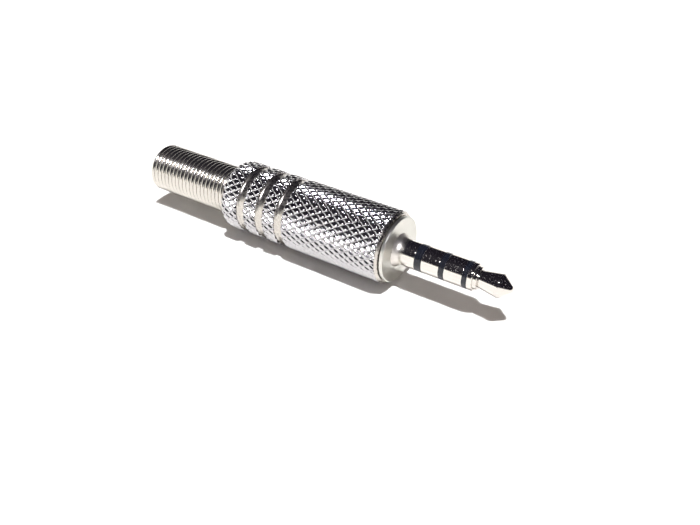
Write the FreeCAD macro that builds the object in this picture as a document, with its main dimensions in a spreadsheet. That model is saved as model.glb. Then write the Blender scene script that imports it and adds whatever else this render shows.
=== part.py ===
import FreeCAD, Part
import math
import os
import re

import Sketcher
from FreeCAD import Placement, Rotation, Vector

# A 3.5 mm four-pole audio jack plug for soldering to a cable. The row axis +X is the plug's own
# axis and points at the nose of the pin. The origin is the centre of the collar's front face,
# which seats against the socket. The plug lies on its knurled barrel, with +Z up.

os.makedirs("parts", exist_ok=True)
doc = FreeCAD.newDocument("audio_jack_plug")

# Driving dimensions, in millimetres and degrees.
SIZES = {
    # The pin in front of the collar, from its root to its nose
    "pin_radius": 1.75,
    "sleeve_length": 2.94,
    "sleeve_insulator_width": 1.0,
    "ring_two_length": 2.35,
    "middle_insulator_width": 0.76,
    "ring_one_length": 2.38,
    "tip_insulator_width": 0.67,
    "root_boss_lift": 0.45,
    "root_boss_length": 0.85,
    # The nose that the socket's spring latches behind
    "tip_band_width": 0.6,
    "tip_band_bevel": 0.12,
    "tip_step_drop": 0.3,
    "tip_step_width": 0.5,
    "tip_step_bevel": 0.1,
    "neck_depth": 0.66,
    "neck_length": 2.6,
    "latch_drop": 0.22,
    "latch_shoulder": 0.1,
    "nose_cone_length": 1.27,
    "nose_radius": 0.52,
    "nose_length": 0.33,
    # Walls of the tubes that lie one in another inside the pin
    "sleeve_wall": 0.33,
    "insulator_wall": 0.17,
    "ring_wall": 0.18,
    "press_gap": 0.02,
    # The collar: a flange in front and a threaded neck that the barrel screws on
    "thread_radius": 3.85,
    "thread_gap": 0.05,
    "thread_lead": 0.25,
    "neck_reach": 3.6,
    "flange_width": 0.45,
    "flange_lip": 0.48,
    "flange_bevel": 0.1,
    # The barrel
    "barrel_length": 25.1,
    "barrel_play": 0.15,
    "barrel_wall": 0.69,
    "rim_width": 0.31,
    "rim_rise": 0.17,
    "rim_drop": 0.14,
    "rear_rounding": 0.75,
    "tail_wall": 1.0,
    "tail_shoulder": 0.45,
    # Its knurl of pointed diamonds, and the three smooth grooves across it
    "knurl_depth": 0.25,
    "knurl_pitch": 1.5,
    "knurl_count": 30,
    "knurl_seat": 0.06,
    "groove_width": 1.22,
    "groove_spacing": 3.18,
    "groove_sink": 0.2,
    "rear_land": 2.15,
    # The cable spring
    "wire_radius": 0.33,
    "tail_gap": 0.06,
    "coil_gap": 0.02,
    "free_turns": 23,
    "held_turns": 1.5,
    "held_clearance": 0.2,
    # The insulating tube inside the barrel
    "liner_gap": 0.05,
    "liner_wall": 0.3,
    "liner_start": 5.2,
    # Solder lugs and the insulating wafers between them
    "lug_thickness": 0.3,
    "lug_plate_radius": 1.9,
    "lug_width": 1.4,
    "lug_clearance": 0.2,
    "lug_length": 5.4,
    "lug_eye_radius": 0.32,
    "lug_eye_inset": 1.0,
    "lug_spread": 60,
    "wafer_thickness": 0.5,
    "wafer_radius": 2.1,
    "rivet_radius": 0.8,
    "rivet_height": 0.3,
    "rivet_bevel": 0.18,
    # The ground lug, whose long strip ends in the claws that grip the cable
    "ground_thickness": 0.35,
    "ground_width": 2.6,
    "ground_clearance": 0.4,
    "ground_run": 10.4,
    "ground_rise": 1.6,
    "claw_radius": 1.65,
    "claw_width": 1.1,
    "claw_pitch": 2.1,
    "claw_opening": 0.6,
    "claw_floor_drop": 0.12,
}

sheet = doc.addObject("Spreadsheet::Sheet", "Sizes")
for row, (name, size) in enumerate(SIZES.items(), start=1):
    sheet.set(f"A{row}", name)
    sheet.set(f"B{row}", str(size))
    sheet.setAlias(f"B{row}", name)
doc.recompute()


def linked(expression):
    """The expression with each size's name pointing at its cell in the spreadsheet."""
    return re.sub(r"[a-z_]+", lambda word: f"Sizes.{word[0]}" if word[0] in SIZES else word[0], expression)


def value(expression):
    """The number that an expression of sizes comes to."""
    return float(sheet.evalExpression(linked(expression)))


# Stations along the axis and radii, worked out from the driving dimensions.
RING_TWO_START = "(sleeve_length + sleeve_insulator_width)"
RING_TWO_END = f"({RING_TWO_START} + ring_two_length)"
RING_ONE_START = f"({RING_TWO_END} + middle_insulator_width)"
RING_ONE_END = f"({RING_ONE_START} + ring_one_length)"
TIP_START = f"({RING_ONE_END} + tip_insulator_width)"

SLEEVE_BORE = "(pin_radius - sleeve_wall)"
SLEEVE_TUBE = f"({SLEEVE_BORE} - press_gap)"
RING_TWO_STEM = f"({SLEEVE_TUBE} - insulator_wall - press_gap)"
RING_TWO_BORE = f"({RING_TWO_STEM} - ring_wall)"
MIDDLE_TUBE = f"({RING_TWO_BORE} - press_gap)"
RING_ONE_STEM = f"({MIDDLE_TUBE} - insulator_wall - press_gap)"
RING_ONE_BORE = f"({RING_ONE_STEM} - ring_wall)"
TIP_TUBE = f"({RING_ONE_BORE} - press_gap)"
TIP_ROD = f"({TIP_TUBE} - insulator_wall - press_gap)"

SHANK_RADIUS = "(pin_radius + root_boss_lift)"
COLLAR_BORE = f"({SHANK_RADIUS} + press_gap)"
NECK_REAR = "(0 - neck_reach)"
GROUND_REAR = f"({NECK_REAR} - lug_thickness)"
RING_TWO_LUG_FRONT = f"({GROUND_REAR} - wafer_thickness)"
RING_TWO_LUG_REAR = f"({RING_TWO_LUG_FRONT} - lug_thickness)"
RING_ONE_LUG_FRONT = f"({RING_TWO_LUG_REAR} - wafer_thickness)"
RING_ONE_LUG_REAR = f"({RING_ONE_LUG_FRONT} - lug_thickness)"
TIP_LUG_FRONT = f"({RING_ONE_LUG_REAR} - wafer_thickness)"
TIP_LUG_REAR = f"({TIP_LUG_FRONT} - lug_thickness)"
TONGUE_LOW = "(wafer_radius + lug_clearance)"
TONGUE_HIGH = f"({TONGUE_LOW} + lug_thickness)"

BARREL_FRONT = "(0 - flange_width - barrel_play)"
BARREL_REAR = f"({BARREL_FRONT} - barrel_length)"
BARREL_BORE = "(thread_radius + thread_gap)"
KNURL_ROOT = f"({BARREL_BORE} + barrel_wall)"
KNURL_PEAK = f"({KNURL_ROOT} + knurl_depth)"
KNURL_SEAT = f"({KNURL_ROOT} - knurl_seat)"
KNURL_FRONT = f"({BARREL_FRONT} - rim_width)"
KNURL_REAR = f"({BARREL_REAR} + rear_rounding)"
TAIL_HOLE = f"({BARREL_BORE} - tail_shoulder)"
SHOULDER = f"({BARREL_REAR} + tail_wall)"

COIL_RADIUS = f"({TAIL_HOLE} - tail_gap - wire_radius)"
HELD_RADIUS = f"({BARREL_BORE} - tail_gap - wire_radius)"
COIL_PITCH = "(2 * wire_radius + coil_gap)"
LINER_RADIUS = f"({BARREL_BORE} - liner_gap)"
LINER_BORE = f"({LINER_RADIUS} - liner_wall)"
HELD_END = f"({SHOULDER} + held_clearance + wire_radius)"
LINER_REAR = f"({HELD_END} + held_turns * {COIL_PITCH} + wire_radius + coil_gap)"


def groove_rear(number):
    """The rear edge of a groove, counted from the tail."""
    return f"({KNURL_REAR} + rear_land + {number} * groove_spacing)"


def origin_plane(body, role):
    """One of a body's own origin planes."""
    return next(item for item in body.Origin.OriginFeatures if item.Role == role)


def new_body(label):
    body = doc.addObject("PartDesign::Body", label)
    body.Label = label
    return body


def new_sketch(body, name, role, offset=None):
    """An empty sketch on one of the body's origin planes, moved along its normal if asked."""
    sketch = body.newObject("Sketcher::SketchObject", name)
    sketch.AttachmentSupport = [(origin_plane(body, role), "")]
    sketch.MapMode = "FlatFace"
    if offset is not None:
        sketch.setExpression("AttachmentOffset.Base.z", linked(offset))
    return sketch


def place(sketch, curve, end, along, up):
    """Holds a point of a curve at two coordinates, each given as an expression."""
    for kind, axis_line, expression in (("DistanceX", -2, along), ("DistanceY", -1, up)):
        if value(expression) == 0:
            sketch.addConstraint(Sketcher.Constraint("PointOnObject", curve, end, axis_line))
        else:
            index = sketch.addConstraint(Sketcher.Constraint(kind, -1, 1, curve, end, value(expression)))
            sketch.setExpression(f"Constraints[{index}]", linked(expression))


def arc_between(start, end, radius, left):
    """A round stretch from one point to the next, with its centre to the left or right of the way."""
    chord = end - start
    middle = (start + end) * 0.5
    side = Vector(-chord.y, chord.x, 0).normalize() * (1 if left else -1)
    centre = middle + side * math.sqrt(max(radius**2 - (chord.Length / 2) ** 2, 0))
    angles = [math.atan2(point.y - centre.y, point.x - centre.x) for point in (start, end)]
    if not left:
        angles.reverse()
    return Part.ArcOfCircle(Part.Circle(centre, Vector(0, 0, 1), radius), *angles)


def draw_outline(sketch, corners):
    """A closed outline. Each corner is (along, up), or (along, up, radius, "left" or "right") where a
    round stretch of that radius leads to it."""
    points = [Vector(value(corner[0]), value(corner[1]), 0) for corner in corners]
    ends = []
    for number, corner in enumerate(corners):
        start, end = points[number - 1], points[number]
        if len(corner) == 2:
            curve = sketch.addGeometry(Part.LineSegment(start, end), False)
            ends.append((curve, 1, 2))
            continue
        left = corner[3] == "left"
        curve = sketch.addGeometry(arc_between(start, end, value(corner[2]), left), False)
        ends.append((curve, 1, 2) if left else (curve, 2, 1))
        index = sketch.addConstraint(Sketcher.Constraint("Radius", curve, value(corner[2])))
        sketch.setExpression(f"Constraints[{index}]", linked(corner[2]))
    for number, (curve, first, last) in enumerate(ends):
        before = ends[number - 1]
        sketch.addConstraint(Sketcher.Constraint("Coincident", before[0], before[2], curve, first))
        place(sketch, curve, last, *corners[number][:2])


def draw_circle(sketch, radius, along="0", up="0"):
    centre = Vector(value(along), value(up), 0)
    curve = sketch.addGeometry(Part.Circle(centre, Vector(0, 0, 1), value(radius)), False)
    index = sketch.addConstraint(Sketcher.Constraint("Radius", curve, value(radius)))
    sketch.setExpression(f"Constraints[{index}]", linked(radius))
    place(sketch, curve, 3, along, up)


def turned(label, half_section):
    """A piece turned on the plug's axis, from its half section of (along, radius) corners."""
    body = new_body(label)
    sketch = new_sketch(body, f"{label}_section", "XZ_Plane")
    draw_outline(sketch, half_section)
    turning = body.newObject("PartDesign::Revolution", f"{label}_turning")
    turning.Profile = sketch
    turning.ReferenceAxis = (sketch, ["H_Axis"])
    turning.Angle = 360
    return body


def pad(body, sketch, length, midplane=False, reverse=False):
    feature = body.newObject("PartDesign::Pad", f"{sketch.Name}_pad")
    feature.Profile = sketch
    feature.setExpression("Length", linked(length))
    feature.SideType = "Symmetric" if midplane else "One side"
    feature.Reversed = reverse
    return feature


def through_cut(body, sketch):
    """A cut right through the body, both ways from the sketch."""
    feature = body.newObject("PartDesign::Pocket", f"{sketch.Name}_cut")
    feature.Profile = sketch
    feature.Type = "ThroughAll"
    feature.SideType = "Symmetric"
    return feature


# The pin. Its contacts are turned brass, plated bright, and its insulators are moulded between them.
def sleeve_contact():
    """The sleeve, with the shank that is pressed into the collar and the flared boss at its root."""
    flare = "((root_boss_length^2 + root_boss_lift^2) / (2 * root_boss_lift))"
    return turned(
        "sleeve_contact",
        [
            (GROUND_REAR, SLEEVE_BORE),
            ("sleeve_length", SLEEVE_BORE),
            ("sleeve_length", "pin_radius"),
            ("root_boss_length", "pin_radius"),
            ("0", SHANK_RADIUS, flare, "right"),
            (GROUND_REAR, SHANK_RADIUS),
        ],
    )


def headed_tube(label, front, head_rear, tube_rear, tube_radius, bore):
    """A tube with a head of the pin's full radius in front: a ring contact, or an insulating bush."""
    return turned(
        label,
        [
            (tube_rear, bore),
            (front, bore),
            (front, "pin_radius"),
            (head_rear, "pin_radius"),
            (head_rear, tube_radius),
            (tube_rear, tube_radius),
        ],
    )


def tip_contact():
    """The tip: its nose in front and the rod that runs back through the whole plug to its rivet."""
    band_end = f"({TIP_START} + tip_band_width)"
    step_end = f"({band_end} + tip_step_width)"
    latch = f"({step_end} + neck_length)"
    cone_end = f"({latch} + nose_cone_length)"
    step_radius = "(pin_radius - tip_step_drop)"
    nose_arc = "((nose_length^2 + nose_radius^2) / (2 * nose_length))"
    return turned(
        "tip_contact",
        [
            (f"{TIP_LUG_REAR} - rivet_height", "0"),
            (f"{cone_end} + nose_length", "0"),
            (cone_end, "nose_radius", nose_arc, "left"),
            (f"{latch} + latch_shoulder", "pin_radius - latch_drop"),
            (latch, "pin_radius - latch_drop"),
            (step_end, "pin_radius - neck_depth"),
            (step_end, f"{step_radius} - tip_step_bevel"),
            (f"{step_end} - tip_step_bevel", step_radius),
            (band_end, step_radius),
            (band_end, "pin_radius - tip_band_bevel"),
            (f"{band_end} - tip_band_bevel", "pin_radius"),
            (TIP_START, "pin_radius"),
            (TIP_START, TIP_ROD),
            (TIP_LUG_REAR, TIP_ROD),
            (TIP_LUG_REAR, "rivet_radius"),
            (f"{TIP_LUG_REAR} - rivet_height + rivet_bevel", "rivet_radius"),
            (f"{TIP_LUG_REAR} - rivet_height", "rivet_radius - rivet_bevel"),
        ],
    )


def pin_pieces():
    return [
        sleeve_contact(),
        headed_tube("sleeve_insulator", RING_TWO_START, "sleeve_length", GROUND_REAR, SLEEVE_TUBE,
                    f"{RING_TWO_STEM} + press_gap"),
        headed_tube("ring_two_contact", RING_TWO_END, RING_TWO_START, RING_TWO_LUG_REAR, RING_TWO_STEM,
                    RING_TWO_BORE),
        headed_tube("middle_insulator", RING_ONE_START, RING_TWO_END, RING_TWO_LUG_REAR, MIDDLE_TUBE,
                    f"{RING_ONE_STEM} + press_gap"),
        headed_tube("ring_one_contact", RING_ONE_END, RING_ONE_START, RING_ONE_LUG_REAR, RING_ONE_STEM,
                    RING_ONE_BORE),
        headed_tube("tip_insulator", TIP_START, RING_ONE_END, RING_ONE_LUG_REAR, TIP_TUBE,
                    f"{TIP_ROD} + press_gap"),
        tip_contact(),
    ]


# The collar, turned in one piece: a bevelled flange in front of the neck that carries the thread.
def collar():
    flange_radius = "(thread_radius + flange_lip)"
    return turned(
        "collar",
        [
            (NECK_REAR, COLLAR_BORE),
            ("0", COLLAR_BORE),
            ("0", f"{flange_radius} - flange_bevel"),
            ("0 - flange_bevel", flange_radius),
            ("0 - flange_width", flange_radius),
            ("0 - flange_width", "thread_radius"),
            (f"{NECK_REAR} + thread_lead", "thread_radius"),
            (NECK_REAR, "thread_radius - thread_lead"),
        ],
    )


# The barrel is one turned and knurled tube. Its blank has seats for the knurl between the grooves,
# and its rear wall has a smaller hole, whose shoulder holds the spring.
def barrel_blank():
    groove_arc = "((groove_width^2 / 4 + groove_sink^2) / (2 * groove_sink))"
    outside = [
        (BARREL_FRONT, BARREL_BORE),
        (BARREL_FRONT, f"{KNURL_ROOT} - rim_drop"),
        (KNURL_FRONT, f"{KNURL_ROOT} + rim_rise"),
        (KNURL_FRONT, KNURL_SEAT),
    ]
    for number in (2, 1, 0):
        rear = groove_rear(number)
        outside.append((f"{rear} + groove_width", KNURL_SEAT))
        outside.append((rear, KNURL_SEAT, groove_arc, "right"))
    rounding_top = f"({KNURL_ROOT} + rim_rise)"
    inside = [
        (KNURL_REAR, KNURL_SEAT),
        (KNURL_REAR, rounding_top),
        (BARREL_REAR, f"{rounding_top} - rear_rounding", "rear_rounding", "left"),
        (BARREL_REAR, TAIL_HOLE),
        (SHOULDER, TAIL_HOLE),
        (SHOULDER, BARREL_BORE),
    ]
    return turned("barrel_blank", outside + inside)


def on_cylinder(along, turn, radius):
    return Vector(along, radius * math.cos(turn), radius * math.sin(turn))


def clipped(polygon, limit, keep):
    """The part of a flat polygon on one side of a plane across the axis, ahead of it or behind it."""
    kept = []
    for start, end in zip(polygon, polygon[1:] + polygon[:1]):
        ahead = (start.x - limit) * keep, (end.x - limit) * keep
        if ahead[0] >= 0:
            kept.append(start)
        if ahead[0] * ahead[1] < 0:
            low, high = sorted((start, end), key=lambda point: tuple(point))
            share = (limit - low.x) / (high.x - low.x)
            crossing = low + (high - low) * share
            kept.append(Vector(limit, crossing.y, crossing.z))
    return kept


def knurl_facets(front, rear):
    """The flat facets of the pointed diamonds between two stations, alternate rows half a step round."""
    pitch, count = value("knurl_pitch"), int(value("knurl_count"))
    peak, root = value(KNURL_PEAK), value(KNURL_ROOT)
    half_pitch, half_step = pitch / 2, math.pi / count
    # The plug rests on two neighbouring lines of points, so the pattern starts a quarter step round.
    start = -math.pi / 2 + half_step / 2
    facets = []
    for row in range(math.floor(rear / half_pitch) - 1, math.ceil(front / half_pitch) + 2):
        middle = row * half_pitch
        for number in range(count):
            # Neighbouring diamonds work out a shared corner from the same whole number of half steps.
            step = 2 * number + row % 2
            corners = [
                on_cylinder(middle + half_pitch, start + step * half_step, root),
                on_cylinder(middle, start + (step + 1) * half_step, root),
                on_cylinder(middle - half_pitch, start + step * half_step, root),
                on_cylinder(middle, start + (step - 1) * half_step, root),
            ]
            point = on_cylinder(middle, start + step * half_step, peak)
            for first, second in zip(corners, corners[1:] + corners[:1]):
                facet = clipped(clipped([point, first, second], front, -1), rear, 1)
                if len(facet) > 2:
                    facets.append(facet)
    return facets


def knurl_end(facets, station, circle):
    """The flat ring that closes a knurled land at one of its ends."""
    edge_points = {}
    for facet in facets:
        for point in facet:
            if abs(point.x - station) < 1e-9:
                turn = math.atan2(point.z, point.y)
                edge_points[round(turn, 7)] = point
    ring = [edge_points[turn] for turn in sorted(edge_points)]
    return Part.makeFace([Part.makePolygon(ring + ring[:1]), Part.Wire([circle])], "Part::FaceMakerBullseye")


def knurled_land(label, front_expression, rear_expression):
    """One knurled stretch of the barrel, from its seat on the blank out to its points."""
    front, rear, seat = value(front_expression), value(rear_expression), value(KNURL_SEAT)
    facets = knurl_facets(front, rear)
    drum = Part.makeCylinder(seat, front - rear, Vector(rear, 0, 0), Vector(1, 0, 0))
    inside = next(face for face in drum.Faces if isinstance(face.Surface, Part.Cylinder))
    faces = [Part.Face(Part.makePolygon(facet + facet[:1])) for facet in facets]
    for station in (front, rear):
        circle = next(edge for edge in inside.Edges if edge.Closed and abs(edge.CenterOfMass.x - station) < 1e-6)
        faces.append(knurl_end(facets, station, circle))
    faces.append(inside)
    shell = Part.Shell(faces)
    shell.sewShape()
    land = doc.addObject("Part::Feature", label)
    land.Label = label
    solid = Part.Solid(Part.Shell(shell.Faces))
    if solid.Volume < 0:
        solid.reverse()
    land.Shape = solid
    return land


def barrel():
    """The blank with its four knurled lands, fused into one piece."""
    fronts = [KNURL_FRONT] + [groove_rear(number) for number in (2, 1, 0)]
    rears = [f"({groove_rear(number)} + groove_width)" for number in (2, 1, 0)] + [KNURL_REAR]
    lands = [
        knurled_land(f"knurled_land_{number}", front, rear)
        for number, (front, rear) in enumerate(zip(fronts, rears), start=1)
    ]
    whole = doc.addObject("Part::MultiFuse", "barrel")
    whole.Label = "barrel"
    whole.Shapes = [barrel_blank()] + lands
    return whole


# The cable spring is wound close from one wire. Each half turn is a round arc that leans a little,
# so that the arcs run smoothly into each other. Its first turns are wider and stay in the barrel.
def half_turn(number, start_along, start_radius, end_along, end_radius, upper):
    side = 1 if upper else -1
    start = Vector(start_along, side * start_radius, 0)
    end = Vector(end_along, -side * end_radius, 0)
    arc = doc.addObject("Part::Torus", f"spring_arc_{number}")
    arc.Radius1 = (end - start).Length / 2
    arc.setExpression("Radius2", linked("wire_radius"))
    arc.Angle3 = 180
    across = (start - end).normalize()
    rise = Vector(0, 0, side)
    arc.Placement = Placement((start + end) * 0.5, Rotation(across, rise, across.cross(rise), "ZXY"))
    return arc


def cable_spring():
    pitch = value(COIL_PITCH)
    coil, held = value(COIL_RADIUS), value(HELD_RADIUS)
    held_halves = round(value("held_turns") * 2)
    free_halves = round(value("free_turns") * 2)
    radii = [held] * (held_halves + 1) + [coil] * (free_halves + 1)
    along = value(HELD_END) + held_halves * pitch / 2
    arcs = []
    for number, (first, second) in enumerate(zip(radii, radii[1:])):
        arcs.append(half_turn(number + 1, along, first, along - pitch / 2, second, number % 2 == 0))
        along -= pitch / 2
    spring = doc.addObject("Part::MultiFuse", "cable_spring")
    spring.Label = "cable_spring"
    spring.Shapes = arcs
    return spring


# Inside the barrel: a plastic tube that keeps the solder joints off the metal.
def liner_tube():
    return turned(
        "liner_tube",
        [
            (LINER_REAR, LINER_BORE),
            ("0 - liner_start", LINER_BORE),
            ("0 - liner_start", LINER_RADIUS),
            (LINER_REAR, LINER_RADIUS),
        ],
    )


def wafer(label, front, bore):
    """A stamped insulating washer between two lugs."""
    rear = f"{front} - wafer_thickness"
    return turned(label, [(rear, bore), (front, bore), (front, "wafer_radius"), (rear, "wafer_radius")])


def solder_lug(label, front, bore, turn):
    """A stamped lug: a round plate on the end of its contact, and a tongue bent back along the barrel."""
    body = new_body(label)
    rear = f"({front} - lug_thickness)"
    disc = new_sketch(body, f"{label}_disc", "YZ_Plane", rear)
    draw_circle(disc, "lug_plate_radius")
    pad(body, disc, "lug_thickness")
    profile = new_sketch(body, f"{label}_bend", "XZ_Plane")
    draw_outline(
        profile,
        [
            (front, "0"),
            (front, TONGUE_HIGH),
            (f"{front} - lug_length", TONGUE_HIGH),
            (f"{front} - lug_length", TONGUE_LOW),
            (rear, TONGUE_LOW),
            (rear, "0"),
        ],
    )
    pad(body, profile, "lug_width", midplane=True)
    hole = new_sketch(body, f"{label}_hole", "YZ_Plane")
    draw_circle(hole, bore)
    through_cut(body, hole)
    eye = new_sketch(body, f"{label}_eye", "XY_Plane")
    draw_circle(eye, "lug_eye_radius", f"{front} - lug_length + lug_eye_inset")
    through_cut(body, eye)
    body.Placement = Placement(Vector(), Rotation(Vector(1, 0, 0), turn))
    return body


def ground_lug():
    """The sleeve's lug: a plate behind the collar, a long strip under the others, and cable claws."""
    body = new_body("ground_lug")
    strip_low = f"(0 - {LINER_BORE} + ground_clearance)"
    strip_high = f"({strip_low} + ground_thickness)"
    claw_outside = "(claw_radius + ground_thickness)"
    floor_high = "(0 - claw_radius - claw_floor_drop)"
    floor_low = f"({floor_high} - ground_thickness)"
    bend = f"({GROUND_REAR} - ground_run)"
    floor_start = f"({bend} - ground_rise)"
    floor_end = f"({floor_start} - claw_pitch - claw_width)"

    disc = new_sketch(body, "ground_disc", "YZ_Plane", GROUND_REAR)
    draw_circle(disc, f"0 - {strip_low}")
    pad(body, disc, "lug_thickness")
    profile = new_sketch(body, "ground_bend", "XZ_Plane")
    draw_outline(
        profile,
        [
            (NECK_REAR, strip_high),
            (NECK_REAR, strip_low),
            (bend, strip_low),
            (floor_start, floor_low),
            (floor_end, floor_low),
            (floor_end, floor_high),
            (floor_start, floor_high),
            (bend, strip_high),
        ],
    )
    pad(body, profile, "ground_width", midplane=True)
    claw = new_sketch(body, "claw_ring", "YZ_Plane", floor_end)
    draw_circle(claw, claw_outside)
    draw_circle(claw, "claw_radius")
    first_claw = pad(body, claw, "claw_width")
    claws = body.newObject("PartDesign::LinearPattern", "claws")
    claws.Originals = [first_claw]
    claws.Direction = (origin_plane(body, "X_Axis"), [""])
    claws.Occurrences = 2
    claws.setExpression("Length", linked("claw_pitch"))
    body.Tip = claws
    opening = new_sketch(body, "claw_opening_side", "XZ_Plane")
    margin = "ground_thickness"
    top = f"({claw_outside} + {margin})"
    draw_outline(
        opening,
        [
            (f"{floor_start} + {margin}", "claw_opening"),
            (f"{floor_start} + {margin}", top),
            (f"{floor_end} - {margin}", top),
            (f"{floor_end} - {margin}", "claw_opening"),
        ],
    )
    through_cut(body, opening)
    hole = new_sketch(body, "ground_hole", "YZ_Plane", GROUND_REAR)
    draw_circle(hole, COLLAR_BORE)
    shank_hole = body.newObject("PartDesign::Pocket", "ground_hole_cut")
    shank_hole.Profile = hole
    shank_hole.setExpression("Length", linked("lug_thickness + lug_thickness"))
    shank_hole.Reversed = True
    return body


def inner_pieces():
    spread = value("lug_spread")
    return [
        ground_lug(),
        wafer("sleeve_wafer", GROUND_REAR, f"{RING_TWO_STEM} + press_gap"),
        solder_lug("ring_two_lug", RING_TWO_LUG_FRONT, f"{RING_TWO_STEM} + press_gap", spread),
        wafer("ring_two_wafer", RING_TWO_LUG_REAR, f"{RING_ONE_STEM} + press_gap"),
        solder_lug("ring_one_lug", RING_ONE_LUG_FRONT, f"{RING_ONE_STEM} + press_gap", -spread),
        wafer("ring_one_wafer", RING_ONE_LUG_REAR, f"{TIP_ROD} + press_gap"),
        solder_lug("tip_lug", TIP_LUG_FRONT, f"{TIP_ROD} + press_gap", 0),
        liner_tube(),
    ]


pieces = pin_pieces() + [collar(), barrel(), cable_spring()] + inner_pieces()
doc.recompute()

for item in doc.Objects:
    if "Invalid" in item.State or "Error" in item.State:
        raise RuntimeError(f"{item.Label} did not build: {item.State}")
for piece in pieces:
    shape = piece.Shape
    if shape.isNull() or not shape.isValid() or not shape.Solids or shape.Volume <= 0:
        raise RuntimeError(f"{piece.Label} has no valid solid")
    print(piece.Label, len(shape.Solids), len(shape.Faces), round(shape.Volume, 3))
    shape.exportStep(f"parts/{piece.Label}.step")
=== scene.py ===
import math

import bmesh
import bpy
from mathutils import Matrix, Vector


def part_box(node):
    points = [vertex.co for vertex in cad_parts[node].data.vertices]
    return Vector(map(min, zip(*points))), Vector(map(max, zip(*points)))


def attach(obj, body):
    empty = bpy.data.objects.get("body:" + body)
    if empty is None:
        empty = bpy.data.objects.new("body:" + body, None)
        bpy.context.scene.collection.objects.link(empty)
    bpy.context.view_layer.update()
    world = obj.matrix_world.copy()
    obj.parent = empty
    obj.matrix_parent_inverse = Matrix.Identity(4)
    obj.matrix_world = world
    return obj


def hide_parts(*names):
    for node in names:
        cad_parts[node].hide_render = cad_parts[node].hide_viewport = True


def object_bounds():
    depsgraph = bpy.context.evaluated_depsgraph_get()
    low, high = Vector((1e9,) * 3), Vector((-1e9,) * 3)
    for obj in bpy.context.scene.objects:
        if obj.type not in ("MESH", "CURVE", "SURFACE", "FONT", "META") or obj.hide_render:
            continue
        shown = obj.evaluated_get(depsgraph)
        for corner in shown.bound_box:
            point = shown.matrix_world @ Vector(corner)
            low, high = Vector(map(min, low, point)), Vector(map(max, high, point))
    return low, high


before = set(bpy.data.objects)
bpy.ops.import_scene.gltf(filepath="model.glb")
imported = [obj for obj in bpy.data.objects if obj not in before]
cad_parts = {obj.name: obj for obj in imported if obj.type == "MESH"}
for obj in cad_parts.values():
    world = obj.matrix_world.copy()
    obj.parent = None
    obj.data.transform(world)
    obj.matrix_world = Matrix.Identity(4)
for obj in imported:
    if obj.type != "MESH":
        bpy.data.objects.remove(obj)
cad_low, cad_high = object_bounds()

# The sleeve is the pin's longest contact, turned from brass and plated bright. Its shank is pressed
# into the collar, and a small flared boss stands where the pin leaves the collar's face.
MM = 0.001
FACETS_ROUND = 180
press_gap = 0.02
pin_radius = 1.75
sleeve_wall = 0.33
sleeve_bore = pin_radius - sleeve_wall
boss_radius = 2.2
boss_length = 0.85
boss_rise = boss_radius - pin_radius
boss_flare = (boss_length**2 + boss_rise**2) / (2 * boss_rise)


def front_of(node_name):
    """Where a node ends towards the nose, in millimetres."""
    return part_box(node_name)[1].x / MM


def rear_of(node_name):
    """Where a node ends towards the tail, in millimetres."""
    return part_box(node_name)[0].x / MM


def softened(outline, radius, closed=True):
    """The outline with its sharp corners rounded over, and a point to hold the flat beside each."""
    nearly_straight = math.radians(160)
    most_of_a_side = 0.4
    long_side = 6
    steps = 3
    made = []
    last = len(outline) - 1
    for number, point in enumerate(outline):
        here = Vector(point)
        back = Vector(outline[number - 1]) - here
        on = Vector(outline[(number + 1) % len(outline)]) - here
        loose_end = not closed and number in (0, last)
        if loose_end or min(back.length, on.length) < 1e-6 or back.angle(on) > nearly_straight:
            made.append(here)
            continue
        reach = min(radius, most_of_a_side * back.length, most_of_a_side * on.length)
        start, end = here + back.normalized() * reach, here + on.normalized() * reach
        if back.length > long_side * reach:
            made.append(here + back.normalized() * 2 * reach)
        for step in range(steps + 1):
            share = step / steps
            made.append(start.lerp(here, share).lerp(here.lerp(end, share), share))
        if on.length > long_side * reach:
            made.append(here + on.normalized() * 2 * reach)
    return [tuple(point) for point in made]


def arc_points(centre, radius, first, last, steps):
    """Points on an arc in the half section, with its angles in degrees from the axis direction."""
    turns = [math.radians(first + (last - first) * step / steps) for step in range(steps + 1)]
    return [(centre[0] + radius * math.cos(turn), centre[1] + radius * math.sin(turn)) for turn in turns]


def ring_of(bm, along, radius):
    """One ring of vertices about the plug's axis, or a single one on the axis."""
    if radius < 1e-6:
        return [bm.verts.new((along * MM, 0, 0))]
    turns = [math.tau * number / FACETS_ROUND for number in range(FACETS_ROUND)]
    return [bm.verts.new((along * MM, radius * math.cos(t) * MM, radius * math.sin(t) * MM)) for t in turns]


def skin_between(bm, first, second):
    """The faces from one ring to the next."""
    for number in range(FACETS_ROUND):
        after = (number + 1) % FACETS_ROUND
        if len(first) == 1:
            bm.faces.new((first[0], second[number], second[after]))
        elif len(second) == 1:
            bm.faces.new((first[number], second[0], first[after]))
        else:
            bm.faces.new((first[number], second[number], second[after], first[after]))


def spin_outline(bm, outline, closed=True):
    """Turns an outline of (along, radius) points about the axis, and returns its rings."""
    rings = [ring_of(bm, along, radius) for along, radius in outline]
    for first, second in zip(rings, rings[1:] + rings[:1] if closed else rings[1:]):
        skin_between(bm, first, second)
    return rings


def shown(name, mesh):
    """An object for the mesh, in the scene."""
    piece = bpy.data.objects.new(name, mesh)
    bpy.context.scene.collection.objects.link(piece)
    return piece


def mesh_of(name, bm, smooth=True):
    """Closes a mesh in making, with its faces outwards."""
    bmesh.ops.recalc_face_normals(bm, faces=bm.faces)
    if smooth:
        for face in bm.faces:
            face.smooth = True
    mesh = bpy.data.meshes.new(name)
    bm.to_mesh(mesh)
    bm.free()
    return mesh


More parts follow.
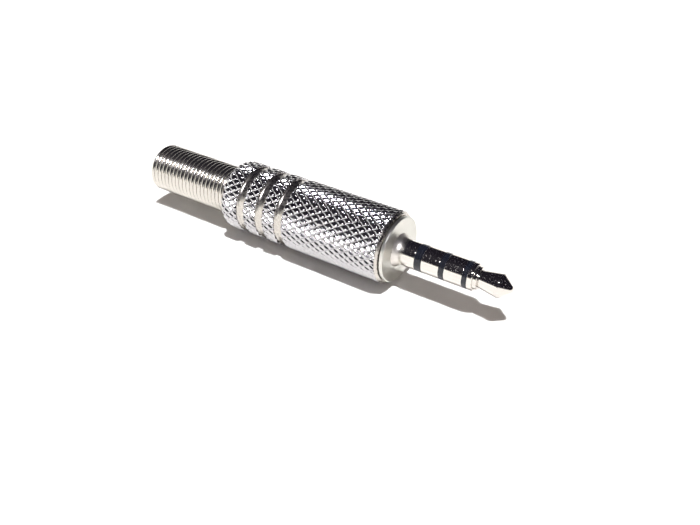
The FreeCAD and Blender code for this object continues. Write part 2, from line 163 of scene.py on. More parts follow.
def turned_piece(name, outline, material, rounding=0.03, closed=True):
    """A piece turned on the plug's axis, with its edges broken."""
    bm = bmesh.new()
    spin_outline(bm, softened(outline, rounding, closed), closed)
    piece = shown(name, mesh_of(name, bm))
    piece.data.materials.append(material)
    return piece


def fit(piece, node_name, body):
    """The piece stands for its node, which is hidden, and moves with its body."""
    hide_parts(node_name)
    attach(piece, body)


def new_material(name, **sockets):
    """A material whose shader has these sockets set. Returns it, its tree and its shader."""
    material = bpy.data.materials.new(name)
    material.use_nodes = True
    shader = material.node_tree.nodes["Principled BSDF"]
    for socket, given in sockets.items():
        shader.inputs[socket.replace("_", " ")].default_value = given
    return material, material.node_tree, shader


def node(tree, kind, sockets=None, **settings):
    """A node with its settings, and its inputs linked or set."""
    made = tree.nodes.new(kind)
    for setting, chosen in settings.items():
        setattr(made, setting, chosen)
    for socket, given in (sockets or {}).items():
        if isinstance(given, bpy.types.NodeSocket):
            tree.links.new(given, made.inputs[socket])
        else:
            made.inputs[socket].default_value = given
    return made


def calc(tree, operation, *values):
    """The result of a math node."""
    return node(tree, "ShaderNodeMath", dict(enumerate(values)), operation=operation).outputs[0]


def object_place(tree):
    """Where a point lies on the piece, from the frame's origin."""
    return node(tree, "ShaderNodeTexCoord").outputs["Object"]


def noise(tree, coordinates, scale, detail, roughness=0.55):
    """A noise texture's grey value on the given coordinates."""
    sockets = {"Vector": coordinates, "Scale": scale, "Detail": detail, "Roughness": roughness}
    return node(tree, "ShaderNodeTexNoise", sockets).outputs[0]


def place_and_radius(tree):
    """A point's place on the piece, as X, Y and Z, and its distance from the plug's axis."""
    split = node(tree, "ShaderNodeSeparateXYZ", {0: object_place(tree)}).outputs
    squares = [calc(tree, "MULTIPLY", split[side], split[side]) for side in ("Y", "Z")]
    return split, calc(tree, "MAXIMUM", calc(tree, "SQRT", calc(tree, "ADD", *squares)), 1e-5)


def turned_marks(tree, scale, detail, roughness=0.55):
    """Grey rings about the axis, as a lathe tool leaves."""
    place, radius = place_and_radius(tree)
    rings = node(tree, "ShaderNodeCombineXYZ", {"X": place["X"], "Y": radius})
    return noise(tree, rings.outputs[0], scale, detail, roughness)


def drawn_marks(tree, along_scale, round_scale, detail, roughness=0.55):
    """Grey streaks along the axis, or round it if along_scale is much the larger."""
    place, radius = place_and_radius(tree)
    sockets = {"X": calc(tree, "MULTIPLY", place["X"], along_scale)}
    for side in ("Y", "Z"):
        sockets[side] = calc(tree, "MULTIPLY", calc(tree, "DIVIDE", place[side], radius), round_scale)
    streaks = node(tree, "ShaderNodeCombineXYZ", sockets)
    return noise(tree, streaks.outputs[0], 1.0, detail, roughness)


def spread(tree, grey, low, high, start=0.3, end=0.7):
    """Maps a grey value between two stops to a range."""
    sockets = {"Value": grey, "From Min": start, "From Max": end, "To Min": low, "To Max": high}
    return node(tree, "ShaderNodeMapRange", sockets).outputs[0]


def tint(tree, grey, dark, light):
    """A colour between two, by a grey value."""
    mixer = node(tree, "ShaderNodeMix", {"Factor": grey}, data_type="RGBA")
    for socket in mixer.inputs:
        if socket.type == "RGBA":
            socket.default_value = (*(dark if socket.name == "A" else light), 1)
    return next(socket for socket in mixer.outputs if socket.type == "RGBA")


def coat(tree, shader, colour, roughness, height, depth):
    """Gives a shader its colour, its roughness and a fine relief of a depth in metres."""
    bump = node(tree, "ShaderNodeBump", {"Strength": 1.0, "Distance": depth, "Height": height})
    tree.links.new(colour, shader.inputs["Base Color"])
    tree.links.new(roughness, shader.inputs["Roughness"])
    tree.links.new(bump.outputs[0], shader.inputs["Normal"])


# Bright nickel over turned brass: faint rings from the tool, and fine scratches from pushing it in.
# The boss keeps a duller finish, and small dull spots lie along the pin.
pin_nickel, tree, shader = new_material("bright pin plating", Metallic=1.0)
scratches = drawn_marks(tree, 260.0, 42.0, 4.0, 0.7)
specks = noise(tree, object_place(tree), 9000, 2.0)
along_pin = node(tree, "ShaderNodeSeparateXYZ", {0: object_place(tree)}).outputs["X"]
dull_boss = spread(tree, along_pin, 0.34, 0.0, 0.0003, 0.0015)
dull_spots = spread(tree, noise(tree, object_place(tree), 5200, 4.0, 0.7), 0.0, 0.42, 0.60, 0.70)
coat(
    tree,
    shader,
    tint(tree, spread(tree, scratches, 0.0, 1.0, 0.42, 0.62), (0.70, 0.66, 0.61), (0.78, 0.75, 0.71)),
    calc(tree, "ADD", spread(tree, scratches, 0.07, 0.17), calc(tree, "MAXIMUM", dull_boss, dull_spots)),
    calc(tree, "ADD", turned_marks(tree, 26000, 2.0), calc(tree, "MULTIPLY", specks, 0.8)),
    depth=0.6e-6,
)

sleeve_front, shank_rear = front_of("sleeve_contact"), rear_of("sleeve_contact")
flare_centre = (boss_length, pin_radius + boss_flare)
flare_turn = math.degrees(math.asin(boss_length / boss_flare))
sleeve = turned_piece(
    "sleeve",
    [(shank_rear, sleeve_bore), (sleeve_front, sleeve_bore), (sleeve_front, pin_radius)]
    + arc_points(flare_centre, boss_flare, -90, -90 - flare_turn, steps=10)
    + [(shank_rear, boss_radius)],
    pin_nickel,
)
fit(sleeve, "sleeve_contact", "plug_core")

# Three insulating bushes keep the contacts apart. They are moulded in a dark plastic, then turned
# down with the pin, so that each shows as a smooth band a hair below the metal.
bush_wall = 0.17
ring_wall = 0.18
bush_sink = 0.012
bush_rounding = 0.012
stem_of_ring_two = sleeve_bore - bush_wall - 2 * press_gap
stem_of_ring_one = stem_of_ring_two - ring_wall - bush_wall - 2 * press_gap
tip_rod = stem_of_ring_one - ring_wall - bush_wall - 2 * press_gap

bush_plastic, tree, shader = new_material("dark pin bushes", IOR=1.52)
rings = turned_marks(tree, 22000, 2.0)
mottle = noise(tree, object_place(tree), 3500, 3.0)
bush_colour = tint(tree, mottle, (0.006, 0.007, 0.012), (0.012, 0.014, 0.024))
coat(tree, shader, bush_colour, spread(tree, rings, 0.16, 0.30), rings, depth=0.8e-6)


def headed_tube(name, node_name, behind, stem, bore, head, material, rounding=0.03):
    """A tube inside the pin with a head that shows: a ring contact or a bush."""
    front, rear, head_rear = front_of(node_name), rear_of(node_name), front_of(behind)
    inside = [(rear, bore), (front, bore)]
    outside = [(front, head), (head_rear, head), (head_rear, stem), (rear, stem)]
    return turned_piece(name, inside + outside, material, rounding)


for name, node_name, behind, around, within in (
    ("sleeve_bush", "sleeve_insulator", "sleeve_contact", sleeve_bore, stem_of_ring_two),
    ("middle_bush", "middle_insulator", "ring_two_contact", stem_of_ring_two - ring_wall, stem_of_ring_one),
    ("tip_bush", "tip_insulator", "ring_one_contact", stem_of_ring_one - ring_wall, tip_rod),
):
    stem, bore = around - press_gap, within + press_gap
    bush = headed_tube(
        name, node_name, behind, stem, bore, pin_radius - bush_sink, bush_plastic, bush_rounding
    )
    fit(bush, node_name, "plug_core")

# The two ring contacts are turned brass tubes with a wide head, slid over the bushes and plated
# with the rest of the pin. Their edges are only just broken.
for name, node_name, behind, stem in (
    ("ring_two", "ring_two_contact", "sleeve_insulator", stem_of_ring_two),
    ("ring_one", "ring_one_contact", "middle_insulator", stem_of_ring_one),
):
    contact = headed_tube(name, node_name, behind, stem, stem - ring_wall, pin_radius, pin_nickel)
    fit(contact, node_name, "plug_core")

# The tip is one rod through the whole plug. Its nose has a band, a step, a waist that the socket's
# spring drops into, and a blunt cone. Its far end is riveted over the last lug.
band_width = 0.6
band_bevel = 0.12
step_length = 0.5
step_bevel = 0.1
waist_length = 2.6
step_radius = pin_radius - 0.3
waist_radius = pin_radius - 0.66
latch_radius = pin_radius - 0.22
latch_shoulder = 0.1
nose_radius = 0.52
nose_reach = 0.33
nose_ball = (nose_reach**2 + nose_radius**2) / (2 * nose_reach)
nose_turn = math.degrees(math.asin(nose_radius / nose_ball))
rivet_radius = 0.8
rivet_height = 0.3
rivet_bevel = 0.18
tip_rounding = 0.025
tip_rear, nose_end, band_start = rear_of("tip_contact"), front_of("tip_contact"), front_of("tip_insulator")
band_end = band_start + band_width
step_end = band_end + step_length
latch = step_end + waist_length
rivet_front = tip_rear + rivet_height
tip = turned_piece(
    "tip",
    [(nose_end, 0.0)]
    + arc_points((nose_end - nose_ball, 0), nose_ball, 0, nose_turn, steps=8)[1:]
    + [
        (latch + latch_shoulder, latch_radius),
        (latch, latch_radius),
        (step_end, waist_radius),
        (step_end, step_radius - step_bevel),
        (step_end - step_bevel, step_radius),
        (band_end, step_radius),
        (band_end, pin_radius - band_bevel),
        (band_end - band_bevel, pin_radius),
        (band_start, pin_radius),
        (band_start, tip_rod),
        (rivet_front, tip_rod),
        (rivet_front, rivet_radius),
        (tip_rear + rivet_bevel, rivet_radius),
        (tip_rear, rivet_radius - rivet_bevel),
        (tip_rear, 0.0),
    ],
    pin_nickel,
    tip_rounding,
    closed=False,
)
fit(tip, "tip_contact", "plug_core")

# The collar is turned in one piece: a bevelled flange whose face is left satin from the tool, and
# a neck with a fine outside thread that the barrel screws on.
collar_bore = boss_radius + press_gap
neck_radius = 3.85
neck_rear = rear_of("collar")
flange_rear = -0.45
flange_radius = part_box("collar")[1].y / MM
flange_bevel = 0.1
thread_height = 0.16
thread_pitch = 0.5
thread_relief = 0.22
thread_lead = 0.25
lead_slope = 0.6
thread_core = neck_radius - thread_height
thread_start = flange_rear - thread_relief
ridge_radius = 0.185
ridge_path = neck_radius - 0.19

satin_nickel, tree, shader = new_material("turned collar plating", Metallic=1.0, Anisotropic=0.55)
turning = turned_marks(tree, 14000, 3.0, 0.7)
patches = noise(tree, object_place(tree), 900, 2.0)
satin_colour = tint(tree, patches, (0.64, 0.63, 0.58), (0.72, 0.71, 0.66))
coat(tree, shader, satin_colour, spread(tree, turning, 0.26, 0.42), turning, depth=1.6e-6)
tangent = node(tree, "ShaderNodeTangent", direction_type="RADIAL", axis="X")
tree.links.new(tangent.outputs[0], shader.inputs["Tangent"])

collar = turned_piece(
    "collar_body",
    [
        (neck_rear, collar_bore),
        (0.0, collar_bore),
        (0.0, flange_radius - flange_bevel),
        (-flange_bevel, flange_radius),
        (flange_rear, flange_radius),
        (flange_rear, thread_core),
        (neck_rear + thread_lead, thread_core),
        (neck_rear, thread_core - thread_lead * lead_slope),
    ],
    satin_nickel,
)
fit(collar, "collar", "plug_core")


def node_tree(name, sockets):
    """A geometry node tree with named inputs. Returns it, its inputs and where its result goes."""
    made = bpy.data.node_groups.new(name, "GeometryNodeTree")
    made.interface.new_socket("Geometry", in_out="INPUT", socket_type="NodeSocketGeometry")
    for socket, kind in sockets.items():
        made.interface.new_socket(socket, in_out="INPUT", socket_type=f"NodeSocket{kind}")
    made.interface.new_socket("Geometry", in_out="OUTPUT", socket_type="NodeSocketGeometry")
    return made, node(made, "NodeGroupInput").outputs, node(made, "NodeGroupOutput").inputs


def grown(name, mesh, tree, sizes, material):
    """Runs a node tree on a mesh with these sizes, and returns what it makes as a plain mesh."""
    holder = shown(name, mesh)
    modifier = holder.modifiers.new(name, "NODES")
    modifier.node_group = tree
    for item in tree.interface.items_tree:
        if item.in_out == "INPUT" and item.name in sizes:
            modifier[item.identifier] = sizes[item.name]
        if item.in_out == "INPUT" and item.socket_type == "NodeSocketMaterial":
            modifier[item.identifier] = material
    graph = bpy.context.evaluated_depsgraph_get()
    graph.update()
    made = bpy.data.meshes.new_from_object(holder.evaluated_get(graph), depsgraph=graph)
    holder.modifiers.clear()
    bpy.data.objects.remove(holder)
    made.name = name
    return made


# The collar's thread is one ridge cut in many turns, and the cable guard is one wire in many turns.
# So one node tree winds both: a path about the axis, with a cornered or a round section along it.
winding, sizes, result = node_tree(
    "winding",
    {
        "Start": "Float",
        "Pitch": "Float",
        "Turns": "Float",
        "Steps a turn": "Int",
        "Wide radius": "Float",
        "Radius": "Float",
        "Wide turns": "Float",
        "Step over": "Float",
        "Section radius": "Float",
        "Section sides": "Int",
        "Wander": "Float",
        "Seed": "Float",
        "Material": "Material",
    },
)
count = calc(winding, "ADD", calc(winding, "MULTIPLY", sizes["Turns"], sizes["Steps a turn"]), 1.0)
line = node(winding, "GeometryNodeCurvePrimitiveLine", {"End": (1.0, 0.0, 0.0)})
points = node(winding, "GeometryNodeResampleCurve", {"Curve": line.outputs["Curve"], "Count": count})
index = node(winding, "GeometryNodeInputIndex").outputs[0]
turn = calc(winding, "DIVIDE", index, sizes["Steps a turn"])
angle = calc(winding, "MULTIPLY", turn, math.tau)
reach = node(
    winding,
    "ShaderNodeMapRange",
    {
        "Value": turn,
        "From Min": sizes["Wide turns"],
        "From Max": calc(winding, "ADD", sizes["Wide turns"], sizes["Step over"]),
        "To Min": sizes["Wide radius"],
        "To Max": sizes["Radius"],
    },
    interpolation_type="SMOOTHSTEP",
).outputs[0]
drift_a_turn = 0.9
drift_place = calc(winding, "ADD", calc(winding, "MULTIPLY", turn, drift_a_turn), sizes["Seed"])
drift = node(
    winding, "ShaderNodeTexNoise", {"W": drift_place, "Scale": 1.0, "Detail": 1.0}, noise_dimensions="1D"
).outputs[0]
slip = calc(winding, "MULTIPLY", calc(winding, "SUBTRACT", drift, 0.5), sizes["Wander"])
along = calc(winding, "SUBTRACT", sizes["Start"], calc(winding, "MULTIPLY", turn, sizes["Pitch"]))
path = node(
    winding,
    "ShaderNodeCombineXYZ",
    {
        "X": calc(winding, "ADD", along, slip),
        "Y": calc(winding, "MULTIPLY", reach, calc(winding, "COSINE", angle)),
        "Z": calc(winding, "MULTIPLY", reach, calc(winding, "SINE", angle)),
    },
).outputs[0]
wound = node(winding, "GeometryNodeSetPosition", {"Geometry": points.outputs[0], "Position": path})
section = node(
    winding,
    "GeometryNodeCurvePrimitiveCircle",
    {"Resolution": sizes["Section sides"], "Radius": sizes["Section radius"]},
)
swept = node(
    winding,
    "GeometryNodeCurveToMesh",
    {"Curve": wound.outputs[0], "Profile Curve": section.outputs["Curve"], "Fill Caps": True},
)
rounded = node(winding, "GeometryNodeSetShadeSmooth", {"Geometry": swept.outputs[0]})
whole = node(winding, "GeometryNodeRealizeInstances", {"Geometry": rounded.outputs[0]})
painted = node(
    winding, "GeometryNodeSetMaterial", {"Geometry": whole.outputs[0], "Material": sizes["Material"]}
)
winding.links.new(painted.outputs[0], result["Geometry"])

thread_mesh = grown(
    "collar_thread",
    bpy.data.meshes.new("thread start"),
    winding,
    {
        "Start": thread_start * MM,
        "Pitch": thread_pitch * MM,
        "Turns": (thread_start - neck_rear - thread_lead) / thread_pitch,
        "Steps a turn": 72,
        "Wide radius": ridge_path * MM,
        "Radius": ridge_path * MM,
        "Wide turns": 1.0,
        "Step over": 1.0,
        "Section radius": ridge_radius * MM,
        "Section sides": 6,
        "Wander": 0.0,
        "Seed": 0.0,
    },
    satin_nickel,
)
fit(shown("collar_thread", thread_mesh), "collar", "plug_core")

# The solder lugs are stamped from brass strip and tin-plated. The widest is the ground lug, whose
# claws grip the cable. All are hidden by the barrel until it is unscrewed.
tinned_brass, tree, shader = new_material("tinned lugs", Metallic=1.0)
rolled = node(tree, "ShaderNodeMapping", {"Vector": object_place(tree), "Scale": (0.08, 1.0, 1.0)})
grain = noise(tree, rolled.outputs[0], 5200, 4.0)
flow = noise(tree, object_place(tree), 1400, 3.0)
tin_colour = tint(tree, flow, (0.58, 0.56, 0.51), (0.76, 0.74, 0.70))
coat(tree, shader, tin_colour, spread(tree, grain, 0.24, 0.48), grain, depth=4e-6)


def dress(node_name, material):
    """Gives a node that shows as it is its material."""
    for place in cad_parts[node_name].material_slots:
        place.material = material


for lug in ("ground_lug", "ring_two_lug", "ring_one_lug", "tip_lug"):
    dress(lug, tinned_brass)

# Between the lugs lie washers stamped from brown insulating board, a pressed paper in resin, which
# shows its fibres as fine flecks.
board, tree, shader = new_material("pressed board", IOR=1.5)
laid = node(tree, "ShaderNodeMapping", {"Vector": object_place(tree), "Scale": (1, 0.3, 2)})
fibres = noise(tree, laid.outputs[0], 9000, 5.0)
board_colour = tint(tree, fibres, (0.16, 0.075, 0.035), (0.34, 0.19, 0.10))
coat(tree, shader, board_colour, spread(tree, fibres, 0.42, 0.62), fibres, depth=5e-6)
for washer in ("sleeve_wafer", "ring_two_wafer", "ring_one_wafer"):
    dress(washer, board)

# A thin tube cut from extruded plastic lines the barrel and keeps the solder joints off the metal.
# It is milky, with faint lines drawn along it.
liner_plastic, tree, shader = new_material("milky liner", IOR=1.49)
drawn = drawn_marks(tree, 30.0, 60.0, 3.0)
cloud = noise(tree, object_place(tree), 700, 3.0)
milk_colour = tint(tree, cloud, (0.70, 0.70, 0.65), (0.82, 0.81, 0.77))
coat(tree, shader, milk_colour, spread(tree, drawn, 0.30, 0.44), drawn, depth=3e-6)
dress("liner_tube", liner_plastic)

# The barrel is a turned brass tube with a pressed diamond knurl and three smooth grooves cut
# through it, plated all over. Its rear wall has a smaller hole that the spring passes through.
barrel_front, barrel_rear = front_of("barrel"), rear_of("barrel")
barrel_bore = 3.9
tail_hole = 3.45
tail_wall = 1.0
rim_top = 4.76
rim_face = 4.45
rim_width = 0.31
edge_rounding = 0.04
tail_rounding = 0.75
tail_lip = 0.02
knurl_run_out = 0.94
rounding_centre = rim_top - tail_rounding
knurl_root = 4.605
knurl_depth = 0.215
knurl_seat = 4.57
knurl_front = barrel_front - rim_width
knurl_rear = barrel_rear + tail_rounding
knurl_tail = knurl_rear - tail_rounding * math.pi / 2 * knurl_run_out
knurl_pitch = 1.5
half_pitch = knurl_pitch / 2
diamonds_round = 30
half_step = math.pi / diamonds_round
first_diamond = -math.pi / 2 + half_step / 2
rows_past_tail = 3
rows_past_rim = 1
first_row = math.floor(barrel_rear / half_pitch) - rows_past_tail
last_row = math.ceil(knurl_front / half_pitch) + rows_past_rim

knurl_nickel, tree, shader = new_material("knurled barrel plating", Metallic=1.0)
pressing = noise(tree, object_place(tree), 2600, 3.0)
fine = noise(tree, object_place(tree), 15000, 2.0)
knurl_colour = tint(tree, pressing, (0.50, 0.49, 0.50), (0.62, 0.61, 0.62))
pressed = calc(tree, "ADD", calc(tree, "MULTIPLY", pressing, 3.0), fine)
coat(tree, shader, knurl_colour, spread(tree, pressing, 0.10, 0.17), pressed, depth=1.2e-6)

# The plain faces between the knurls keep the marks of the lathe tool, under the same plating.
turned_nickel, tree, shader = new_material("turned barrel plating", Metallic=1.0)
grooving = turned_marks(tree, 16000, 3.0, 0.7)
stain = noise(tree, object_place(tree), 2400, 3.0)
plain_colour = tint(tree, stain, (0.52, 0.48, 0.43), (0.66, 0.63, 0.59))
plain_height = calc(tree, "ADD", grooving, stain)
coat(tree, shader, plain_colour, spread(tree, stain, 0.21, 0.34), plain_height, depth=1.8e-6)


def diamond_mesh():
    """One raised diamond of the knurl: rings of points from its valley up to a domed crest."""
    # How far out each ring lies and how high it stands. The points beside each corner keep the
    # flanks straight along the diamond's sides.
    rings = [(1.0, 0.0), (0.94, 0.08), (0.76, 0.48), (0.54, 0.80), (0.26, 0.95)]
    corners = [(1, 0), (0, 1), (-1, 0), (0, -1)]
    bm = bmesh.new()

    def vertex(forward, sideways, height):
        turn = sideways * half_step
        reach = knurl_root + height * knurl_depth
        around = (reach * math.cos(turn) * MM, reach * math.sin(turn) * MM)
        return bm.verts.new((forward * half_pitch * MM, *around))

    made = []
    for size, height in rings:
        ring = []
        for corner, after in zip(corners, corners[1:] + corners[:1]):
            for share in (0.0, 0.17, 0.83):
                forward = corner[0] + (after[0] - corner[0]) * share
                sideways = corner[1] + (after[1] - corner[1]) * share
                ring.append(vertex(forward * size, sideways * size, height))
        made.append(ring)
    crest = vertex(0, 0, 1.0)
    for number in range(len(made[0])):
        after = (number + 1) % len(made[0])
        for outer, inner in zip(made, made[1:]):
            bm.faces.new((outer[number], outer[after], inner[after], inner[number]))
        bm.faces.new((made[-1][number], made[-1][after], crest))
    return mesh_of("diamond", bm)


# The knurling sets the diamonds in staggered rows round the barrel, joins them at their valleys
# and moves each point a little, as a worn pressing wheel does.
knurling, sizes, result = node_tree(
    "knurling",
    {
        "First row": "Int",
        "Rows": "Int",
        "Diamonds round": "Int",
        "Row spacing": "Float",
        "Start": "Float",
        "Wander": "Float",
        "Seed": "Float",
        "Material": "Material",
    },
)
all_diamonds = calc(knurling, "MULTIPLY", sizes["Rows"], sizes["Diamonds round"])
points = node(knurling, "GeometryNodePoints", {"Count": all_diamonds})
index = node(knurling, "GeometryNodeInputIndex").outputs[0]
row = calc(knurling, "FLOOR", calc(knurling, "DIVIDE", index, sizes["Diamonds round"]))
row = calc(knurling, "ADD", row, sizes["First row"])
place_in_row = calc(knurling, "FLOORED_MODULO", index, sizes["Diamonds round"])
stagger = calc(knurling, "FLOORED_MODULO", row, 2.0)
steps_round = calc(knurling, "ADD", calc(knurling, "MULTIPLY", place_in_row, 2.0), stagger)
step_angle = calc(knurling, "DIVIDE", math.pi, sizes["Diamonds round"])
turn = calc(knurling, "ADD", calc(knurling, "MULTIPLY", steps_round, step_angle), sizes["Start"])
row_place = calc(knurling, "MULTIPLY", row, sizes["Row spacing"])
place = node(knurling, "ShaderNodeCombineXYZ", {"X": row_place}).outputs[0]
turned = node(knurling, "ShaderNodeCombineXYZ", {"X": turn}).outputs[0]
placed = node(knurling, "GeometryNodeSetPosition", {"Geometry": points.outputs[0], "Position": place})
repeated = node(
    knurling,
    "GeometryNodeInstanceOnPoints",
    {"Points": placed.outputs[0], "Instance": sizes["Geometry"], "Rotation": turned},
)
whole = node(knurling, "GeometryNodeRealizeInstances", {"Geometry": repeated.outputs[0]})
joined = node(knurling, "GeometryNodeMergeByDistance", {"Geometry": whole.outputs[0], "Distance": 1e-6})


def vector_calc(tree, operation, sockets):
    """The result of a vector math node."""
    return node(tree, "ShaderNodeVectorMath", sockets, operation=operation).outputs[0]


spot = node(knurling, "GeometryNodeInputPosition").outputs[0]
seed_step = node(knurling, "ShaderNodeCombineXYZ", {"X": sizes["Seed"]}).outputs[0]
shifted = vector_calc(knurling, "ADD", {0: spot, 1: (1, 1, 1)})
seeded = vector_calc(knurling, "ADD", {0: shifted, 1: seed_step})
grain = node(knurling, "ShaderNodeTexNoise", {"Vector": seeded, "Scale": 900.0, "Detail": 1.0})
centred = vector_calc(knurling, "SUBTRACT", {0: grain.outputs[1], 1: (0.5, 0.5, 0.5)})
wander = vector_calc(knurling, "SCALE", {0: centred, "Scale": sizes["Wander"]})
uneven = node(knurling, "GeometryNodeSetPosition", {"Geometry": joined.outputs[0], "Offset": wander})
painted = node(
    knurling, "GeometryNodeSetMaterial", {"Geometry": uneven.outputs[0], "Material": sizes["Material"]}
)
knurling.links.new(painted.outputs[0], result["Geometry"])

knurl_mesh = grown(
    "knurl",
    diamond_mesh(),
    knurling,
    {
        "First row": first_row,
        "Rows": last_row - first_row + 1,
        "Diamonds round": diamonds_round,
        "Row spacing": half_pitch * MM,
        "Start": first_diamond,
        "Wander": 0.014 * MM,
        "Seed": 3.0,
    },
    knurl_nickel,
)

barrel_bm = bmesh.new()


def turn_of(vertex):
    """A vertex's turn about the axis."""
    return math.atan2(vertex.co.z, vertex.co.y) % math.tau


def knurled_land(front, rear):
    """Adds one stretch of knurl, cut square. Returns its front edge, its rear edge and its vertices."""
    land = bmesh.new()
    land.from_mesh(knurl_mesh)
    for station, side in ((front, 1), (rear, -1)):
        bmesh.ops.bisect_plane(
            land,
            geom=land.verts[:] + land.edges[:] + land.faces[:],
            plane_co=(station * MM, 0, 0),
            plane_no=(side, 0, 0),
            clear_outer=True,
            dist=1e-7,
        )
    copies = {vertex: barrel_bm.verts.new(vertex.co) for vertex in land.verts}
    for face in land.faces:
        made = barrel_bm.faces.new([copies[vertex] for vertex in face.verts])
        made.smooth = face.smooth
    open_verts = {vertex for edge in land.edges if edge.is_boundary for vertex in edge.verts}
    on_the_cut = 2e-6
    edges = []
    for station in (front, rear):
        rim = [copies[vertex] for vertex in open_verts if abs(vertex.co.x - station * MM) < on_the_cut]
        edges.append(sorted(rim, key=turn_of))
    land.free()
    return *edges, list(copies.values())


def zip_rings(first, second):
    """Closes the strip between two rings of vertices that have different numbers of points."""
    first, second = sorted(first, key=turn_of), sorted(second, key=turn_of)

    def next_turn(ring, number):
        return turn_of(ring[(number + 1) % len(ring)]) + (math.tau if number + 1 >= len(ring) else 0)

    here, there = 0, 0
    while here < len(first) or there < len(second):
        a, b = first[here % len(first)], second[there % len(second)]
        first_is_next = here < len(first) and next_turn(first, here) <= next_turn(second, there)
        if there >= len(second) or first_is_next:
            barrel_bm.faces.new((a, first[(here + 1) % len(first)], b))
            here += 1
        else:
            barrel_bm.faces.new((a, second[(there + 1) % len(second)], b))
            there += 1


def plain_faces(outline):
    """Turned faces of the barrel, shaded smooth and in the barrel's second finish."""
    before = set(barrel_bm.faces)
    rings = spin_outline(barrel_bm, outline, closed=False)
    for face in barrel_bm.faces:
        if face not in before:
            face.smooth = True
            face.material_index = 1
    return rings


# Each groove has a fillet on either side, which leans into the knurl beside it.
rear_land = 2.15
groove_width = 1.22
groove_spacing = 3.18
groove_fillet = 0.42
groove_lean = 48
fillet_reach = groove_fillet * math.sin(math.radians(groove_lean))
fillet_height = knurl_seat + groove_fillet * math.cos(math.radians(groove_lean))
groove_rears = [knurl_rear + rear_land + number * groove_spacing for number in (2, 1, 0)]
fronts = [knurl_front] + groove_rears
rears = [rear + groove_width for rear in groove_rears] + [knurl_tail]
lands = [knurled_land(front, rear) for front, rear in zip(fronts, rears)]
for number, rear in enumerate(groove_rears):
    front_centre = (rear + groove_width - fillet_reach, fillet_height)
    rear_centre = (rear + fillet_reach, fillet_height)
    floor_arc = arc_points(front_centre, groove_fillet, -90 + groove_lean, -90, steps=6)
    floor_arc += arc_points(rear_centre, groove_fillet, -90, -90 - groove_lean, steps=6)
    rings = plain_faces(floor_arc)
    zip_rings(lands[number][1], rings[0])
    zip_rings(rings[-1], lands[number + 1][0])

# The knurl runs on over the rounded tail edge and fades out there.
fade_start = 0.35
for vertex in lands[-1][2]:
    past = knurl_rear - vertex.co.x / MM
    if past <= 0:
        continue
    share = min(past / (knurl_rear - knurl_tail), 1.0)
    radius = math.hypot(vertex.co.y, vertex.co.z) / MM
    fade = max(0.0, (share - fade_start) / (1 - fade_start))
    fade = fade * fade * (3 - 2 * fade)
    arm = (radius - rounding_centre) * (1 - fade) + tail_rounding * fade
    lean = share * math.pi / 2
    shrink = (rounding_centre + arm * math.cos(lean)) / radius
    station = (knurl_rear - arm * math.sin(lean)) * MM
    vertex.co = Vector((station, vertex.co.y * shrink, vertex.co.z * shrink))

inside = [
    (barrel_rear, rounding_centre - tail_lip),
    (barrel_rear, tail_hole),
    (barrel_rear + tail_wall, tail_hole),
    (barrel_rear + tail_wall, barrel_bore),
    (barrel_front, barrel_bore),
    (barrel_front, rim_face),
    (knurl_front, rim_top),
    (knurl_front, knurl_seat),
]
rings = plain_faces(softened(inside, edge_rounding, closed=False))
zip_rings(lands[-1][1], rings[0])
zip_rings(rings[-1], lands[0][0])
barrel = shown("barrel_body", mesh_of("barrel_body", barrel_bm, smooth=False))
barrel.data.materials.append(knurl_nickel)
barrel.data.materials.append(turned_nickel)
fit(barrel, "barrel", "barrel")

# The cable guard is a spring wound close from nickel-plated wire. Its first turns are wider and
# are trapped between the liner and the barrel's rear wall; the rest stands out behind.
wire_radius = 0.33
wire_gap = 0.06
coil_pitch = 0.68
coil_radius = tail_hole - wire_gap - wire_radius
held_radius = barrel_bore - wire_gap - wire_radius
spring_start = front_of("cable_spring") - wire_radius

spring_nickel, tree, shader = new_material("spring wire plating", Metallic=1.0)
drawing = drawn_marks(tree, 9000.0, 7.0, 3.0, 0.6)
haze = noise(tree, object_place(tree), 1200, 2.0)
wire_colour = tint(tree, drawing, (0.60, 0.57, 0.52), (0.71, 0.68, 0.63))
coat(tree, shader, wire_colour, spread(tree, haze, 0.16, 0.24), drawing, depth=1.5e-6)

spring_mesh = grown(
    "cable_guard",
    bpy.data.meshes.new("wire start"),
    winding,
    {
        "Start": spring_start * MM,
        "Pitch": coil_pitch * MM,
        "Turns": 25.0,
        "Steps a turn": 64,
        "Wide radius": held_radius * MM,
        "Radius": coil_radius * MM,
        "Wide turns": 1.5,
        "Step over": 0.5,
        "Section radius": wire_radius * MM,
        "Section sides": 22,
        "Wander": 0.008 * MM,
        "Seed": 12.0,
    },
    spring_nickel,
)
fit(shown("cable_guard", spring_mesh), "cable_spring", "tail")

# The plug lies on a plain matt white table, wide enough to fill every view of it from above. The
# table isn't part of the plug.
table_half = 1.2
corners = [(x * table_half, y * table_half, cad_low.z) for x, y in ((-1, -1), (1, -1), (1, 1), (-1, 1))]
table_mesh = bpy.data.meshes.new("table")
table_mesh.from_pydata(corners, [], [(0, 1, 2, 3)])
table_white = new_material(
    "white table", Roughness=0.9, Base_Color=(0.9, 0.9, 0.9, 1), Specular_IOR_Level=0.0
)[0]
table_mesh.materials.append(table_white)
shown("table", table_mesh)


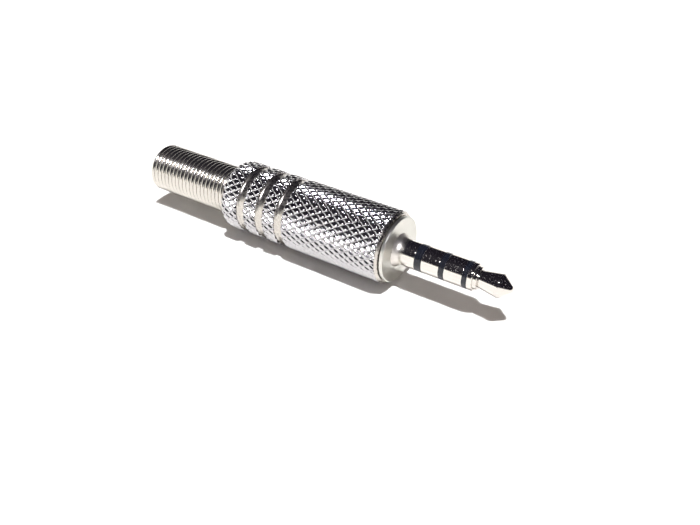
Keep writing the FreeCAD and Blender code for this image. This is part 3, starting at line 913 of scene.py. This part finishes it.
# One small lamp over the camera gives the metal its glints, and doesn't light the table. A high
# lamp and the warm light of the room do that and cast the soft shadow, and the metal doesn't mirror them.
def lamp(name, kind, direction, strength, colour, **settings):
    """A lamp that shines from a direction on the plug."""
    distance = 0.6
    data = bpy.data.lights.new(name, kind)
    data.energy = strength
    data.color = colour
    made = bpy.data.objects.new(name, data)
    for setting, chosen in settings.items():
        setattr(data if hasattr(data, setting) else made, setting, chosen)
    direction = Vector(direction).normalized()
    made.location = direction * distance
    made.rotation_mode = "QUATERNION"
    made.rotation_quaternion = direction.to_track_quat("Z", "Y")
    bpy.context.scene.collection.objects.link(made)


white, warm, cool = (1, 1, 1), (1.0, 0.83, 0.69), (0.95, 0.94, 1.0)
overhead, straight_above, over_camera = (0.12, -0.10, 1.0), (0, 0, 1), (0.084, -0.544, 0.834)
lamp("high lamp", "SUN", overhead, 4.2, white, angle=math.radians(4), visible_glossy=False)
lamp("room light", "SUN", straight_above, 0.55, warm, angle=math.radians(150), visible_glossy=False)
lamp("desk lamp", "AREA", over_camera, 3.4, cool, shape="DISK", size=0.15, visible_diffuse=False)

# The room above the table is dark, and the metal mirrors it. A low white surround goes round the
# table, and stands higher towards the plug's tail.
room = bpy.data.worlds.new("dark room")
room.use_nodes = True
bpy.context.scene.world = room
tree = room.node_tree
sight = node(tree, "ShaderNodeTexCoord").outputs["Generated"]
heading = node(tree, "ShaderNodeSeparateXYZ", {0: sight}).outputs
surround = calc(tree, "MAXIMUM", calc(tree, "MULTIPLY_ADD", heading["X"], -0.24, 0.06), 0.0)
above = calc(tree, "SUBTRACT", heading["Z"], surround)
ramp = node(tree, "ShaderNodeValToRGB", {"Fac": calc(tree, "ADD", above, 0.5)})
for stop, position, colour in zip(
    ramp.color_ramp.elements, (0.46, 0.56), ((1.6, 1.6, 1.55, 1), (0.018, 0.016, 0.024, 1))
):
    stop.position = position
    stop.color = colour
tree.links.new(ramp.outputs[0], tree.nodes["Background"].inputs["Color"])

# The camera stands close by, a little above the plug and to the side of its nose. Its place and
# lens were fitted on the plug's edges in the photograph.
camera_turn = (math.radians(55.6), 0.0, math.radians(33.86))
camera_distance = 0.1002
aim_left = 0.00625
aim_down = 0.00159
outwards = Vector((0.4598, -0.6852, 0.5650))
rightwards = Vector((0.8304, 0.5573, 0.0))
upwards = Vector((-0.3148, 0.4692, 0.8251))
camera_data = bpy.data.cameras.new("camera")
camera_data.sensor_width = 36.0
camera_data.lens = 41.14
camera_data.clip_start = 0.005
camera_data.clip_end = 10.0
camera = bpy.data.objects.new("camera", camera_data)
camera.location = outwards * camera_distance - rightwards * aim_left - upwards * aim_down
camera.rotation_euler = camera_turn
bpy.context.scene.collection.objects.link(camera)
bpy.context.scene.camera = camera
bpy.context.scene.view_settings.view_transform = "Standard"
